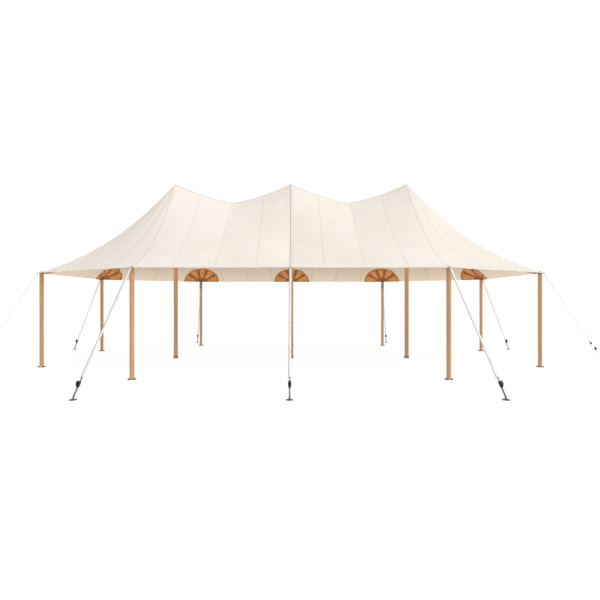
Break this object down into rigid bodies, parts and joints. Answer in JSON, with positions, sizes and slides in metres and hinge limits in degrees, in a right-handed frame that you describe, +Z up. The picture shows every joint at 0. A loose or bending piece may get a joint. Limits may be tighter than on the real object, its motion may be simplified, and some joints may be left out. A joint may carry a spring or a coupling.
{
  "type": "sailcloth tent",
  "caption": "Long sailcloth tent with peaked cream canopy, round timber poles and side posts, steel feet and webbing guys with ratchets down to ground anchors.",
  "frame": {"origin": "on the ground at the centre of the middle pole foot's underside", "axes": "+X along the ridge, -Y towards the front, +Z up"},
  "size_m": [15.4768, 9.9, 5.12],
  "materials": {
    "canopy": "matt woven sailcloth, slightly translucent cream",
    "timber": "clear varnished softwood, satin",
    "webbing": "matt woven polyester webbing",
    "ratchet": "black coated steel",
    "steel": "dark grey galvanised steel"
  },
  "bodies": {
    "root": {"canopy_left": "canopy", "canopy_right": "canopy", "centre_pole_left": "timber", "centre_pole_middle": "timber", "centre_pole_right": "timber", "centre_pole_foot_left": "steel", "centre_pole_foot_middle": "steel", "centre_pole_foot_right": "steel", "side_post_front_left": "timber", "side_post_front_right": "timber", "side_post_back_left": "timber", "side_post_back_centre": "timber", "side_post_back_right": "timber", "side_post_left_front": "timber", "side_post_left_back": "timber", "side_post_right_front": "timber", "side_post_right_back": "timber", "post_foot_front_left": "steel", "post_foot_front_right": "steel", "post_foot_back_left": "steel", "post_foot_back_centre": "steel", "post_foot_back_right": "steel", "post_foot_left_front": "steel", "post_foot_left_back": "steel", "post_foot_right_front": "steel", "post_foot_right_back": "steel", "strap_front_left": "webbing", "strap_front_centre": "webbing", "strap_front_right": "webbing", "strap_back_left": "webbing", "strap_back_centre": "webbing", "strap_back_right": "webbing", "strap_left_front": "webbing", "strap_left_back": "webbing", "strap_right_front": "webbing", "strap_right_back": "webbing", "ratchet_front_left": "ratchet", "ratchet_front_centre": "ratchet", "ratchet_front_right": "ratchet", "ratchet_back_left": "ratchet", "ratchet_back_centre": "ratchet", "ratchet_back_right": "ratchet", "ratchet_left_front": "ratchet", "ratchet_left_back": "ratchet", "ratchet_right_front": "ratchet", "ratchet_right_back": "ratchet", "anchor_front_left": "steel", "anchor_front_centre": "steel", "anchor_front_right": "steel", "anchor_back_left": "steel", "anchor_back_centre": "steel", "anchor_back_right": "steel", "anchor_left_front": "steel", "anchor_left_back": "steel", "anchor_right_front": "steel", "anchor_right_back": "steel"}
  },
  "joints": []
}
